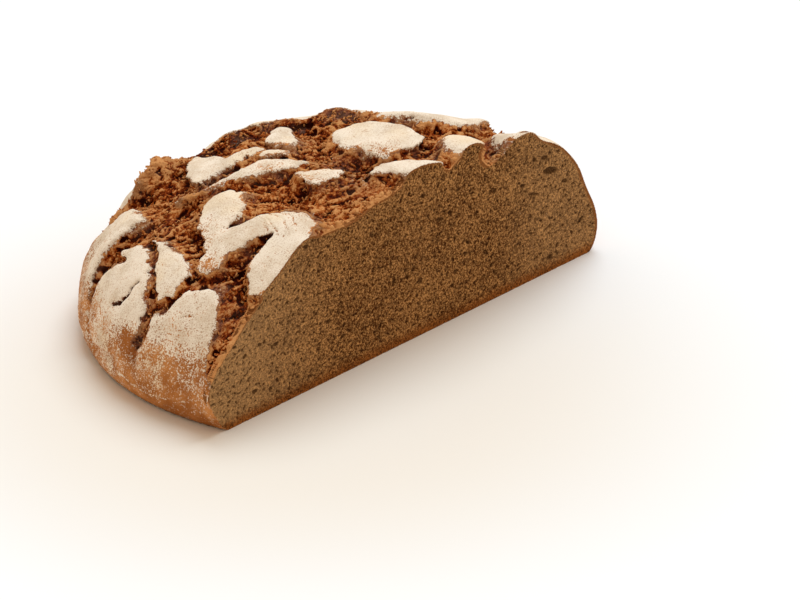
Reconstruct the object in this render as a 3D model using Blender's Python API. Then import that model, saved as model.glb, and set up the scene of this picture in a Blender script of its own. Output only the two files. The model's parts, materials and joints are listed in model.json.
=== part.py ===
"""A round rye loaf cut in two: the larger piece, with its torn, plated crust, standing on its flat base.

The cut face looks along -Y, the cut runs along X and the crown is up. The part is one solid.
"""

import math

import bmesh
import bpy
import numpy as np
from mathutils import Vector, noise

# Driving dimensions, in metres. The back of the loaf is the side away from the knife.
LOAF_LENGTH = 0.280  # the whole loaf, measured along the cut
BACK_DEPTH = 0.136  # from the loaf's axis to its back
FRONT_DEPTH = 0.127  # from the axis to the front of the whole loaf
LOAF_HEIGHT = 0.085
CUT_OFFSET = 0.028  # the knife passes this far in front of the axis
BELLY_HEIGHT = 0.015  # height of the widest part of the side
BASE_SHARE = 0.944  # radius of the flat base, as a share of the loaf's radius
DOME_POWER = 2.2  # 2 is an ellipse, more is a squarer shoulder

SKIRT_START = 0.160  # below this distance from the crown's centre the side's skin is whole
SKIRT_WAVE = 0.004
WALL_DROP = 0.0030  # the torn edge of the skin is this deep
TEAR_DEPTH = 0.0085  # the middle of a wide tear is this deep
TEAR_SLOPE = 0.0055  # a tear reaches most of its depth this far from the skin
EDGE_ROUND = 0.0030  # a plate's edge rounds over this width
EDGE_DROP = 0.0012
WALL_WIDTH = 0.0016
LUMP_HEIGHT = 0.0014
LUMP_SIZE = 0.045
RAGGED = 0.0016  # how far the plates' edges wander
RAGGED_SIZE = 0.010

SPHERE_SUBDIVISIONS = 7
KEPT_TRIANGLES = 0.10  # share of the fine mesh's triangles that the solid keeps
BASE_TRIM = 0.0004  # shaved off the underside, so that it is one true plane

MM = 0.001

# Where the skin is whole. The crown is unrolled like a map: distance from the crown's centre along the
# surface, at the true heading, in millimetres. Each plate is an outline on that map.
PLATES = {
    "near_block": [
        (-164, 32), (-154, 28), (-146, 23), (-136, 22), (-134, 15), (-127, 12), (-120, 9), (-115, -6), (-123, -14),
        (-139, -21), (-151, -27), (-160, -45), (-200, -60), (-200, 25),
    ],
    "left_oval": [
        (-149, 85), (-154, 66), (-168, 48), (-168, 36), (-157, 36), (-149, 30), (-138, 29), (-130, 32), (-122, 35),
        (-115, 40), (-106, 46), (-100, 52), (-99, 57), (-104, 68), (-107, 70), (-110, 62), (-114, 76),
        (-124, 82), (-137, 86),
    ],
    "sliver": [
        (-130, 23), (-123, 30), (-115, 36), (-107, 40), (-101, 46), (-97, 56), (-98, 41), (-103, 29),
        (-108, 19), (-113, 14), (-128, 16),
    ],
    "hook": [
        (-110, 13), (-100, 16), (-94, 22), (-86, 31), (-78, 37), (-68, 42), (-59, 44), (-54, 39),
        (-54, 32), (-61, 23), (-70, 19), (-82, 17), (-74, 12), (-66, 8), (-59, -1), (-56, -12),
        (-58, -24), (-66, -28), (-86, -36), (-105, -40), (-112, -27), (-105, -18), (-100, -11),
        (-76, -9), (-80, -4), (-86, 0), (-96, 3), (-105, 1), (-111, 6),
    ],
    "boomerang": [
        (-69, 64), (-61, 55), (-49, 51), (-38, 49), (-26, 48), (-20, 40), (-14, 25), (-22, 25),
        (-30, 29), (-37, 36), (-48, 45), (-60, 51),
    ],
    "ridge": [
        (-55, 61), (-40, 60), (-27, 58), (-13, 53), (-12, 61), (-20, 66), (-27, 68), (-22, 80),
        (-24, 92), (-34, 88), (-45, 77), (-52, 69),
    ],
    "splinter": [(-21, 53), (-13, 52), (-10, 43), (-14, 36), (-19, 44)],
    "wedge": [(-8, 54), (-5, 62), (5, 68), (16, 70), (15, 62), (8, 54), (1, 47), (-6, 46)],
    "chip": [(-34, 4), (-30, 24), (-21, 19), (-14, 12), (-12, 3), (-22, 0)],
    "crown_oval": [
        (8, -1), (9, 15), (8, 25), (12, 35), (21, 41), (32, 40), (40, 33), (43, 18), (41, 0),
        (31, -6), (18, -4),
    ],
    "cut_strip": [(-14, -12), (-5, -8), (3, -8), (11, -13), (20, -22), (22, -45), (-2, -45), (-7, -21)],
    "cut_chip": [(31, -20), (38, -11), (46, -5), (56, -7), (59, -14), (56, -26), (42, -34), (32, -28)],
    "left_rim": [
        (-79, 77), (-85, 71), (-93, 75), (-101, 80), (-111, 85), (-120, 89), (-140, 98), (-190, 60),
        (-160, 140), (-110, 162), (-84, 130), (-76, 112), (-73, 100), (-74, 88),
    ],
    "left_flap": [
        (-64, 106), (-56, 98), (-46, 93), (-38, 95), (-33, 101), (-31, 110), (-33, 130), (-42, 190),
        (-106, 165), (-82, 130), (-71, 112),
    ],
    "back_left": [
        (-20, 106), (-14, 101), (-5, 97), (6, 94), (16, 92), (21, 98), (22, 110), (26, 150), (30, 190),
        (-30, 190), (-24, 140), (-22, 110),
    ],
    "back_middle": [
        (30, 95), (35, 83), (43, 73), (50, 68), (56, 66), (62, 61), (70, 76), (82, 101), (104, 140), (60, 200),
        (38, 200), (34, 150), (29, 110),
    ],
    "back_right": [
        (59, 56), (57, 42), (61, 31), (64, 21), (69, 13), (76, 8), (85, 9), (98, 15), (120, 24),
        (195, 50), (180, 110), (112, 133), (84, 96), (66, 62),
    ],
    "right_end": [
        (69, -23), (74, -14), (86, -7), (98, -1), (120, 7), (195, 25), (195, -60), (70, -60), (68, -34),
    ],
}

# Narrow cracks in the skin: the points on the map, and the crack's width at its start and its end.
CRACKS = {
    "left_side": ([(-106, 73), (-118, 83), (-130, 89), (-143, 91), (-152, 83), (-157, 66), (-159, 50)], 10, 1),
    "oval_low": ([(-97, 61), (-102, 50), (-109, 43), (-117, 37), (-127, 30), (-139, 26), (-150, 26), (-157, 33)], 5, 1),
    "oval_inner": ([(-134, 58), (-132, 51), (-128, 46), (-123, 43)], 1.0, 0.3),
    "near_side": ([(-112, -22), (-134, -28), (-156, -33)], 7, 2),
    "back_long": ([(-27, 104), (-28, 132), (-36, 166)], 9, 3),
    "back_branch": ([(-31, 134), (-48, 146), (-66, 148)], 4, 2),
    "back_seam": ([(25, 96), (28, 128), (36, 158)], 7, 2),
    "back_corner": ([(66, 66), (82, 98), (106, 134)], 1, 8),
    "right_back": ([(88, 50), (112, 64), (136, 84)], 6, 2),
    "right_low": ([(94, 6), (124, 15), (162, 26)], 8, 2),
}

# Spots where the skin stands up or, as a minus, is sunk: place on the map, height and spread, in mm.
RAISED = [
    (-44, 89, 7, 13),
    (-27, 106, -4, 14),
    (-100, 82, 3, 16),
    (-58, 92, 7, 10),
    (0, 84, 3, 20),
    (40, 62, 4, 16),
    (56, 24, 3, 20),
    (45, -20, 4, 13),
    (92, -24, 4, 22),
    (-36, 74, -2, 16),
    (-20, 12, -2, 14),
    (-58, -10, 1, 14),
]

# Spots where skin and tears stand out together from the plain dome, or as a minus lie in: as above.
SWOLLEN = [
    (-148, -42, 16, 15),
    (-122, -40, 6, 14),
    (-166, -42, 4, 15),
    (-72, -36, 7, 17),
    (-25, -40, 5, 26),
    (8, -36, 4, 16),
    (38, -34, 6, 12),
    (76, -32, 7, 10),
    (142, -40, -4, 15),
    (-88, 104, -5, 14),
    (-61, 123, -7, 12),
    (-54, 102, -4, 12),
    (-56, 137, -3, 12),
    (-33, 97, 11, 8),
    (-2, 113, -9, 13),
    (39, 75, -2, 12),
    (71, 77, 3, 10),
    (55, 69, 3, 9),
    (10, 98, 2, 10),
    (104, 18, 2.5, 10),
    (88, -9, -2, 9),
    (78, -27, 1.5, 9),
    (104, -25, 2, 13),
    (-74, 122, -0.7, 11),
    (-53, 97, 2.7, 11),
    (-36, 97, -1.7, 11),
    (-31, 87, -4.3, 11),
    (-30, 98, 3.9, 11),
    (8, 128, -3.1, 11),
    (15, 121, 1.4, 11),
    (4, 100, 1.1, 11),
    (14, 97, -1.6, 11),
    (31, 105, 2.3, 11),
    (50, 81, -1.2, 11),
    (61, 65, -0.8, 11),
    (72, 61, -1.1, 11),
    (67, 53, -0.9, 11),
    (89, 29, 0.9, 11),
    (99, 24, -1.4, 11),
    (112, 21, 3.4, 11),
    (98, -2, -1.7, 11),
    (106, -31, -0.5, 11),
]

# Spots where a tear is deeper than elsewhere: place on the map, extra depth and spread, in millimetres.
PITS = [
    (-105, 74, 4, 6),
    (-95, 36, 4, 7),
    (-73, 59, 4, 6),
    (-44, 12, 4, 10),
    (-50, -17, 3, 5),
    (-107, -7, 3, 5),
    (-50, 78, 3, 14),
    (8, 74, 3, 14),
    (34, 54, 4, 12),
    (48, 20, 4, 12),
    (6, 8, 4, 8),
    (12, -8, 3, 8),
    (66, -26, 6, 11),
]


def signed_distance(points, outline):
    """Distance from each point to a closed outline, negative inside."""
    corners = np.array(outline, float) * MM
    nearest = np.full(len(points), np.inf)
    inside = np.zeros(len(points), bool)
    for a, b in zip(corners, np.roll(corners, -1, axis=0)):
        nearest = np.minimum(nearest, segment_distance(points, a, b)[0])
        if a[1] != b[1]:
            spans = (a[1] > points[:, 1]) != (b[1] > points[:, 1])
            crossing = a[0] + (points[:, 1] - a[1]) * (b[0] - a[0]) / (b[1] - a[1])
            inside ^= spans & (points[:, 0] < crossing)
    return np.where(inside, -nearest, nearest)


def segment_distance(points, a, b):
    """Distance from each point to the segment a-b, and the share of the way along it."""
    along = np.clip((points - a) @ (b - a) / ((b - a) @ (b - a)), 0, 1)
    return np.linalg.norm(points - a - along[:, None] * (b - a), axis=1), along


def crack_distance(points, route, start_width, end_width):
    """Distance from each point to the crack's edge, negative inside the crack."""
    stops = np.array(route, float) * MM
    widths = np.linspace(start_width, end_width, len(stops)) * MM
    nearest = np.full(len(points), np.inf)
    for a, b, wide, narrow in zip(stops, stops[1:], widths, widths[1:]):
        distance, along = segment_distance(points, a, b)
        nearest = np.minimum(nearest, distance - (wide + (narrow - wide) * along) / 2)
    return nearest


def tear_distance(places):
    """How far each place on the map is into a tear, negative where the skin is whole."""
    reach = np.linalg.norm(places, axis=1)
    heading = np.arctan2(places[:, 1], places[:, 0])
    into = SKIRT_START + SKIRT_WAVE * np.sin(5 * heading) - reach
    for outline in PLATES.values():
        into = np.minimum(into, signed_distance(places, outline))
    for route, start_width, end_width in CRACKS.values():
        into = np.maximum(into, -crack_distance(places, route, start_width, end_width))
    return into


def ragged(places, points):
    """The places moved about a little, so that the torn edges wander."""
    moved = [noise.noise_vector(Vector(p) / RAGGED_SIZE).xy for p in points]
    return places + np.array(moved) * RAGGED


def spots(places, table):
    """The sum of the table's round spots at each place, in metres."""
    total = np.zeros(len(places))
    for u, v, height, spread in table:
        total += height * MM * np.exp(-((places - np.array([u, v]) * MM) ** 2).sum(1) / (spread * MM) ** 2)
    return total


def swell(places, points):
    """How far the crust stands out from the plain dome at each place."""
    into = tear_distance(ragged(places, points))
    skin = 1 / (1 + np.exp(into / (WALL_WIDTH / 4)))
    edge = EDGE_DROP * np.exp(np.minimum(into, 0) / EDGE_ROUND)
    deep = WALL_DROP + (TEAR_DEPTH - WALL_DROP) * (1 - np.exp(-np.maximum(into, 0) / TEAR_SLOPE))
    lumps = LUMP_HEIGHT * np.array([noise.noise(Vector(p) / LUMP_SIZE) for p in points])
    lumps += spots(places, SWOLLEN)
    return lumps + skin * (spots(places, RAISED) - edge) - (1 - skin) * (deep + spots(places, PITS))


def dome_profile():
    """The loaf's section as (radius, height) against the distance from the crown's centre."""
    rise = np.linspace(math.pi / 2, 0, 400)
    dome_radius = BACK_DEPTH * np.cos(rise) ** (2 / DOME_POWER)
    dome_height = BELLY_HEIGHT + (LOAF_HEIGHT - BELLY_HEIGHT) * np.sin(rise) ** (2 / DOME_POWER)
    turn = np.linspace(math.pi / 2, 0, 60)[1:]
    corner_radius = BACK_DEPTH * (BASE_SHARE + (1 - BASE_SHARE) * np.sin(turn))
    corner_height = BELLY_HEIGHT * (1 - np.cos(turn))
    across = np.concatenate([dome_radius, corner_radius])
    up = np.concatenate([dome_height, corner_height])
    reach = np.concatenate([[0], np.cumsum(np.hypot(np.diff(across), np.diff(up)))])
    return reach, across, up


def shape_loaf(directions):
    """Turns a ball's directions into points on the whole loaf, crust and flat base."""
    reach, across, up = dome_profile()
    full = reach[-1] + across[-1]
    heading = np.arctan2(directions[:, 1], directions[:, 0])
    way = full * np.arccos(np.clip(directions[:, 2], -1, 1)) / math.pi
    on_base = way > reach[-1]
    radius = np.where(on_base, full - way, np.interp(way, reach, across))
    height = np.where(on_base, 0, np.interp(way, reach, up))
    headings = np.column_stack([np.cos(heading), np.sin(heading)])
    stretch = np.ones_like(headings)
    stretch[:, 0] = LOAF_LENGTH / 2 / BACK_DEPTH
    stretch[headings[:, 1] < 0, 1] = FRONT_DEPTH / BACK_DEPTH
    points = np.column_stack([radius[:, None] * headings * stretch, height])
    places = headings * way[:, None]
    core = np.array([0, 0, 0.2 * LOAF_HEIGHT])
    outwards = points - core
    outwards /= np.linalg.norm(outwards, axis=1)[:, None]
    fade = np.clip((reach[-1] - way) / (1.5 * BELLY_HEIGHT), 0, 1)
    points += outwards * (swell(places, points) * fade)[:, None]
    points[:, 2] = np.where(on_base, 0, np.maximum(points[:, 2], 0))
    return points


def crust_material():
    material = bpy.data.materials.new("baked_crust")
    material.use_nodes = True
    shader = material.node_tree.nodes["Principled BSDF"]
    shader.inputs["Base Color"].default_value = (0.36, 0.17, 0.07, 1)
    shader.inputs["Roughness"].default_value = 0.85
    return material


def whole_loaf():
    """The uncut loaf as one closed mesh, thinned where it is smooth."""
    bpy.ops.mesh.primitive_ico_sphere_add(subdivisions=SPHERE_SUBDIVISIONS, radius=1)
    ball = bpy.context.object
    directions = np.array([v.co.normalized() for v in ball.data.vertices])
    ball.data.vertices.foreach_set("co", shape_loaf(directions).ravel())
    thin = ball.modifiers.new("thin", "DECIMATE")
    thin.ratio = KEPT_TRIANGLES
    graph = bpy.context.evaluated_depsgraph_get()
    mesh = bpy.data.meshes.new_from_object(ball.evaluated_get(graph))
    bpy.data.objects.remove(ball)
    return mesh


def cut_loaf(mesh):
    """Cuts the loaf with the knife's plane and the table's, and stands it centred on the origin."""
    bm = bmesh.new()
    bm.from_mesh(mesh)
    for point, normal in (((0, -CUT_OFFSET, 0), (0, -1, 0)), ((0, 0, BASE_TRIM), (0, 0, -1))):
        everything = bm.verts[:] + bm.edges[:] + bm.faces[:]
        cut = bmesh.ops.bisect_plane(bm, geom=everything, plane_co=point, plane_no=normal, clear_outer=True)
        rim = [e for e in cut["geom_cut"] if isinstance(e, bmesh.types.BMEdge)]
        bmesh.ops.holes_fill(bm, edges=rim)
    sides = [[v.co[axis] for v in bm.verts] for axis in (0, 1)]
    centre = [(max(side) + min(side)) / 2 for side in sides]
    bmesh.ops.translate(bm, verts=bm.verts, vec=(-centre[0], -centre[1], -BASE_TRIM))
    bmesh.ops.triangulate(bm, faces=bm.faces)
    bmesh.ops.recalc_face_normals(bm, faces=bm.faces)
    bm.to_mesh(mesh)
    bm.free()
    print("the loaf's axis stands at", [round(-c, 5) for c in centre])


def main():
    for old in list(bpy.data.objects):
        bpy.data.objects.remove(old)
    collection = bpy.data.collections.new("half_rye_loaf")
    bpy.context.scene.collection.children.link(collection)
    mesh = whole_loaf()
    cut_loaf(mesh)
    loaf = bpy.data.objects.new("half_loaf", mesh)
    loaf.data.materials.clear()
    loaf.data.materials.append(crust_material())
    loaf.data.shade_smooth()
    loaf.data.set_sharp_from_angle(angle=math.radians(50))
    collection.objects.link(loaf)


main()
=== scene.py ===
import json
import math

import bmesh
import bpy
import numpy as np
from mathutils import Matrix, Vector, noise


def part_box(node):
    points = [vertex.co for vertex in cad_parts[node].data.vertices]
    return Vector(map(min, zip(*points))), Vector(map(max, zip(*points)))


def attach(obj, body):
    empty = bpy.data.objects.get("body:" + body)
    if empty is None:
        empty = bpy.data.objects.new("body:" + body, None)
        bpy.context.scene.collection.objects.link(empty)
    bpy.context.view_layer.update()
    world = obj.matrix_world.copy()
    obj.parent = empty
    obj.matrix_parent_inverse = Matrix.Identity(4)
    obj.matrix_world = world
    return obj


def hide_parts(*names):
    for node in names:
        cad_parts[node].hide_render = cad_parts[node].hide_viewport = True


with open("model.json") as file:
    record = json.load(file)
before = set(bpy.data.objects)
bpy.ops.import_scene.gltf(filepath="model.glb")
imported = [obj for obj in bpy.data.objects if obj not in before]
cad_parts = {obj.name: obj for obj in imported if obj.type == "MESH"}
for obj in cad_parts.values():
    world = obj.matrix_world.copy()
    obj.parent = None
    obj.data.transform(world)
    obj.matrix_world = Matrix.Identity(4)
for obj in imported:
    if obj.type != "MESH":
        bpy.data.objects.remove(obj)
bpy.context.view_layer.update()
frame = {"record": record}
lowCorner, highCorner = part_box("half_loaf")
restMount = frame["record"]["mounts"][0]["pos_m"]
axisPlace = np.array([restMount[0], restMount[1], 0.0])  # where the whole loaf's axis stands
cutPlane = lowCorner[1]
mm = 0.001
rng = np.random.default_rng(17)

# the loaf's own shape, in metres
loaf = {
    "length": 0.280,
    "backDepth": 0.136,
    "frontDepth": 0.127,
    "height": 0.085,
    "bellyHeight": 0.015,
    "baseShare": 0.944,
    "domePower": 2.2,
    "ballLevels": 8,
    "voxel": 0.00058,
    "baseTrim": 0.0004,
}

# how the skin tears and lifts
crustRelief = {
    "skirtStart": 0.160, "skirtWave": 0.004, "skirtWaves": 5,
    "wallDrop": 0.0030, "wallWidth": 0.0016,
    "tearDepth": 0.0085, "tearSlope": 0.0055,
    "edgeDrop": 0.0012, "edgeRound": 0.0030,
    "lumpHeight": 0.0014, "lumpSize": 0.045,
    "ragged": 0.0016, "raggedSize": 0.010,
    "frayed": 0.0013, "frayedSize": 0.0038,  # the plates' edges fray over a smaller size too
    "tearFold": 0.0011, "tearFoldSize": 0.009,  # stretched lumps in the tears
}

# where the skin is whole, in millimetres on the unrolled crown
plates = {
    "nearBlock": [
        (-164, 32), (-154, 28), (-146, 23), (-136, 22), (-134, 15), (-127, 12), (-120, 9), (-115, -6),
        (-123, -14), (-139, -21), (-151, -27), (-160, -45), (-200, -60), (-200, 25),
    ],
    "leftOval": [
        (-149, 85), (-154, 66), (-168, 48), (-168, 36), (-157, 36), (-149, 30), (-138, 29), (-130, 32),
        (-122, 35), (-115, 40), (-106, 46), (-100, 52), (-99, 57), (-104, 68), (-107, 70), (-110, 62),
        (-114, 76), (-124, 82), (-137, 86),
    ],
    "sliver": [
        (-130, 23), (-123, 30), (-115, 36), (-107, 40), (-101, 46), (-97, 56), (-98, 41), (-103, 29),
        (-108, 19), (-113, 14), (-128, 16),
    ],
    "hook": [
        (-110, 13), (-100, 16), (-94, 22), (-86, 31), (-78, 37), (-68, 42), (-59, 44), (-54, 39),
        (-54, 32), (-61, 23), (-70, 19), (-82, 17), (-74, 12), (-66, 8), (-59, -1), (-56, -12),
        (-58, -24), (-66, -28), (-86, -36), (-105, -40), (-112, -27), (-105, -18), (-100, -11),
        (-76, -9), (-80, -4), (-86, 0), (-96, 3), (-105, 1), (-111, 6),
    ],
    "boomerang": [
        (-69, 64), (-61, 55), (-49, 51), (-38, 49), (-26, 48), (-20, 40), (-14, 25), (-22, 25),
        (-30, 29), (-37, 36), (-48, 45), (-60, 51),
    ],
    "ridge": [
        (-55, 61), (-40, 60), (-27, 58), (-13, 53), (-12, 61), (-20, 66), (-27, 68), (-22, 80),
        (-24, 92), (-34, 88), (-45, 77), (-52, 69),
    ],
    "splinter": [(-21, 53), (-13, 52), (-10, 43), (-14, 36), (-19, 44)],
    "wedge": [(-8, 54), (-5, 62), (5, 68), (16, 70), (15, 62), (8, 54), (1, 47), (-6, 46)],
    "chip": [(-34, 4), (-30, 24), (-21, 19), (-14, 12), (-12, 3), (-22, 0)],
    "crownOval": [
        (8, -1), (9, 15), (8, 25), (12, 35), (21, 41), (32, 40), (40, 33), (43, 18), (41, 0),
        (31, -6), (18, -4),
    ],
    "cutStrip": [(-14, -12), (-5, -8), (3, -8), (11, -13), (20, -22), (22, -45), (-2, -45), (-7, -21)],
    "cutChip": [(31, -20), (38, -11), (46, -5), (56, -7), (59, -14), (56, -26), (42, -34), (32, -28)],
    "leftRim": [
        (-79, 77), (-85, 71), (-93, 75), (-101, 80), (-111, 85), (-120, 89), (-140, 98), (-190, 60),
        (-160, 140), (-110, 162), (-84, 130), (-76, 112), (-73, 100), (-74, 88),
    ],
    "leftFlap": [
        (-64, 106), (-56, 98), (-46, 93), (-38, 95), (-33, 101), (-31, 110), (-33, 130), (-42, 190),
        (-106, 165), (-82, 130), (-71, 112),
    ],
    "backLeft": [
        (-20, 106), (-14, 101), (-5, 97), (6, 94), (16, 92), (21, 98), (22, 110), (26, 150), (30, 190),
        (-30, 190), (-24, 140), (-22, 110),
    ],
    "backMiddle": [
        (30, 95), (35, 83), (43, 73), (50, 68), (56, 66), (62, 61), (70, 76), (82, 101), (104, 140),
        (60, 200), (38, 200), (34, 150), (29, 110),
    ],
    "backRight": [
        (59, 56), (57, 42), (61, 31), (64, 21), (69, 13), (76, 8), (85, 9), (98, 15), (120, 24),
        (195, 50), (180, 110), (112, 133), (84, 96), (66, 62),
    ],
    "rightEnd": [
        (69, -23), (74, -14), (86, -7), (98, -1), (120, 7), (195, 25), (195, -60), (70, -60), (68, -34),
    ],
}

# narrow cracks: the points on the map, width at the start and at the end
cracks = {
    "leftSide": ([(-106, 73), (-118, 83), (-130, 89), (-143, 91), (-152, 83), (-157, 66), (-159, 50)], 10, 1),
    "ovalLow": (
        [(-97, 61), (-102, 50), (-109, 43), (-117, 37), (-127, 30), (-139, 26), (-150, 26), (-157, 33)],
        5, 1),
    "ovalInner": ([(-134, 58), (-132, 51), (-128, 46), (-123, 43)], 1.0, 0.3),
    "nearSide": ([(-112, -22), (-134, -28), (-156, -33)], 7, 2),
    "backLong": ([(-27, 104), (-28, 132), (-36, 166)], 9, 3),
    "backBranch": ([(-31, 134), (-48, 146), (-66, 148)], 4, 2),
    "backSeam": ([(25, 96), (28, 128), (36, 158)], 7, 2),
    "backCorner": ([(66, 66), (82, 98), (106, 134)], 1, 8),
    "rightBack": ([(88, 50), (112, 64), (136, 84)], 6, 2),
    "rightLow": ([(94, 6), (124, 15), (162, 26)], 8, 2),
}

# round spots on the map: u, v, height and spread in millimetres
raised = [
    (-44, 89, 7, 13), (-27, 106, -4, 14), (-100, 82, 3, 16), (-58, 92, 7, 10),
    (0, 84, 3, 20), (40, 62, 4, 16), (56, 24, 3, 20), (45, -20, 4, 13), (92, -24, 4, 22),
    (-36, 74, -2, 16), (-20, 12, -2, 14), (-58, -10, 1, 14),
]
swollen = [
    (-148, -42, 16, 15), (-122, -40, 6, 14), (-166, -42, 4, 15), (-72, -36, 7, 17), (-25, -40, 5, 26),
    (8, -36, 4, 16), (38, -34, 6, 12), (76, -32, 7, 10), (142, -40, -4, 15), (-88, 104, -5, 14),
    (-61, 123, -7, 12), (-54, 102, -4, 12), (-56, 137, -3, 12), (-33, 97, 11, 8), (-2, 113, -9, 13),
    (39, 75, -2, 12), (71, 77, 3, 10), (55, 69, 3, 9), (10, 98, 2, 10), (104, 18, 2.5, 10),
    (88, -9, -2, 9), (78, -27, 1.5, 9), (104, -25, 2, 13),
    (-74, 122, -0.7, 11), (-53, 97, 2.7, 11), (-36, 97, -1.7, 11), (-31, 87, -4.3, 11), (-30, 98, 3.9, 11),
    (8, 128, -3.1, 11), (15, 121, 1.4, 11), (4, 100, 1.1, 11), (14, 97, -1.6, 11), (31, 105, 2.3, 11),
    (50, 81, -1.2, 11), (61, 65, -0.8, 11), (72, 61, -1.1, 11), (67, 53, -0.9, 11), (89, 29, 0.9, 11),
    (99, 24, -1.4, 11), (112, 21, 3.4, 11), (98, -2, -1.7, 11), (106, -31, -0.5, 11),
]
pits = [
    (-105, 74, 4, 6), (-95, 36, 4, 7), (-73, 59, 4, 6), (-44, 12, 4, 10), (-50, -17, 3, 5),
    (-107, -7, 3, 5), (-50, 78, 3, 14), (8, 74, 3, 14), (34, 54, 4, 12), (48, 20, 4, 12),
    (6, 8, 4, 8), (12, -8, 3, 8), (66, -26, 6, 11),
]

# fine curved cracks in the floured skin, and pale creases low on the side
hairLines = [
    [(-64, 3), (-66, -6), (-69, -13), (-75, -17)], [(-66, 6), (-70, -1), (-73, -8), (-76, -13)],
    [(-69, 6), (-74, -3), (-78, -8)], [(-61, 1), (-62, -8), (-66, -17)],
    [(-134, 3), (-131, 0), (-131, -3)], [(-140, 66), (-134, 70), (-126, 69)],
    [(-60, 128), (-64, 142), (-75, 152)], [(90, 40), (104, 52), (118, 58)],
]
paleLines = [
    [(-166, 48), (-170, 38), (-173, 27), (-175, 16), (-174, 4)],
    [(-120, 118), (-130, 112), (-142, 100)], [(110, 120), (96, 134), (80, 142)],
]
# skin rubbed through to the crumb: u, v and radius
scuffs = [(-96, -1, 3.5), (-91, -2, 3), (60, 53, 7), (65, 60, 6)]
# the far plates' torn fronts, where the skin starts a little behind the edge
bareLines = [
    [(-20, 106), (-14, 101), (-5, 97), (6, 94), (16, 92), (24, 97)],
    [(30, 95), (35, 83), (43, 73), (50, 68), (56, 66), (62, 61)],
    [(-72, 114), (-64, 106), (-56, 98), (-46, 93), (-38, 95), (-33, 101)],
]

# flour: u, v, change in cover and spread in millimetres
flourSpots = [
    (-86, 29, -0.45, 6), (-105, 8, -0.45, 7), (-57, -10, -0.35, 6), (-32, 34, -0.4, 8),
    (-150, 36, -0.3, 7), (-157, 52, -0.3, 5), (14, 3, -0.5, 7), (-79, 43, -0.4, 5), (-97, 22, -0.42, 6),
    (-107, -2, -0.4, 6), (3, 17, -0.35, 6),
    (-158, 58, 0.30, 14), (-152, 74, 0.2, 14), (-162, 12, 0.12, 10), (-150, 100, 0.2, 16),
    (-27, 10, -0.3, 8), (-60, 62, -0.2, 6), (-162, 0, -0.12, 10), (-140, 6, -0.18, 13),
    (-147, -18, -0.15, 10),
]
dustSpots = [
    (-4, 20, 0.5, 11), (-18, -11, 0.42, 11), (-92, -1, 0.4, 5), (-79, 43, 0.4, 5), (-58, -12, 0.3, 6),
    (-90, 62, 0.25, 10), (-30, 72, 0.35, 10), (-60, 72, 0.3, 8), (-125, -22, 0.3, 8), (20, 60, 0.3, 8),
]


def noiseAt(points, size, shift=0.0):
    return np.fromiter(map(noise.noise, (points / size + shift).tolist()), float, len(points))


def smoothStep(low, high, value):
    share = np.clip((value - low) / (high - low), 0, 1)
    return share * share * (3 - 2 * share)


# the unrolled crown as a grid of tear distances, so that each place is looked up and not worked out again
mapArea = {
    "low": np.array([-0.200, -0.062]),
    "high": np.array([0.200, 0.200]),
    "step": 0.0005,
    "reach": 0.025,  # how far round a plate or crack its distance is worked out
    "lineReach": 0.004,
}


def segmentDistance(points, a, b):
    along = np.clip((points - a) @ (b - a) / ((b - a) @ (b - a)), 0, 1)
    return np.linalg.norm(points - a - along[:, None] * (b - a), axis=1), along


def outlineDistance(points, corners):
    nearest = np.full(len(points), np.inf)
    inside = np.zeros(len(points), bool)
    for a, b in zip(corners, np.roll(corners, -1, axis=0)):
        nearest = np.minimum(nearest, segmentDistance(points, a, b)[0])
        if a[1] != b[1]:
            spans = (a[1] > points[:, 1]) != (b[1] > points[:, 1])
            crossing = a[0] + (points[:, 1] - a[1]) * (b[0] - a[0]) / (b[1] - a[1])
            inside ^= spans & (points[:, 0] < crossing)
    return np.where(inside, -nearest, nearest)


def crackDistance(points, stops, widths):
    nearest = np.full(len(points), np.inf)
    for a, b, wide, narrow in zip(stops, stops[1:], widths, widths[1:]):
        distance, along = segmentDistance(points, a, b)
        nearest = np.minimum(nearest, distance - (wide + (narrow - wide) * along) / 2)
    return nearest


def nearTo(points, stops, reach):
    return np.nonzero(np.all((points > stops.min(0) - reach) & (points < stops.max(0) + reach), axis=1))[0]


def drawTearMap():
    across = np.arange(mapArea["low"][0], mapArea["high"][0], mapArea["step"])
    up = np.arange(mapArea["low"][1], mapArea["high"][1], mapArea["step"])
    uu, vv = np.meshgrid(across, up)
    grid = np.column_stack([uu.ravel(), vv.ravel()])
    heading = np.arctan2(grid[:, 1], grid[:, 0])
    relief = crustRelief
    into = relief["skirtStart"] + relief["skirtWave"] * np.sin(relief["skirtWaves"] * heading)
    into -= np.linalg.norm(grid, axis=1)
    for outline in plates.values():
        corners = np.array(outline, float) * mm
        near = nearTo(grid, corners, mapArea["reach"])
        into[near] = np.minimum(into[near], outlineDistance(grid[near], corners))
    for route, startWidth, endWidth in cracks.values():
        stops = np.array(route, float) * mm
        near = nearTo(grid, stops, mapArea["reach"])
        widths = np.linspace(startWidth, endWidth, len(stops)) * mm
        into[near] = np.maximum(into[near], -crackDistance(grid[near], stops, widths))
    return into.reshape(uu.shape)


def readGrid(grid, spot):
    # the grid's value between its four nearest cells
    cell = np.clip(spot.astype(int), 0, np.array(grid.shape[::-1]) - 2)
    part = np.clip(spot - cell, 0, 1)
    x, y = cell.T
    lower = grid[y, x] * (1 - part[:, 0]) + grid[y, x + 1] * part[:, 0]
    upper = grid[y + 1, x] * (1 - part[:, 0]) + grid[y + 1, x + 1] * part[:, 0]
    return lower * (1 - part[:, 1]) + upper * part[:, 1]


def readMap(grid, places):
    return readGrid(grid, (places - mapArea["low"]) / mapArea["step"])


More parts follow.
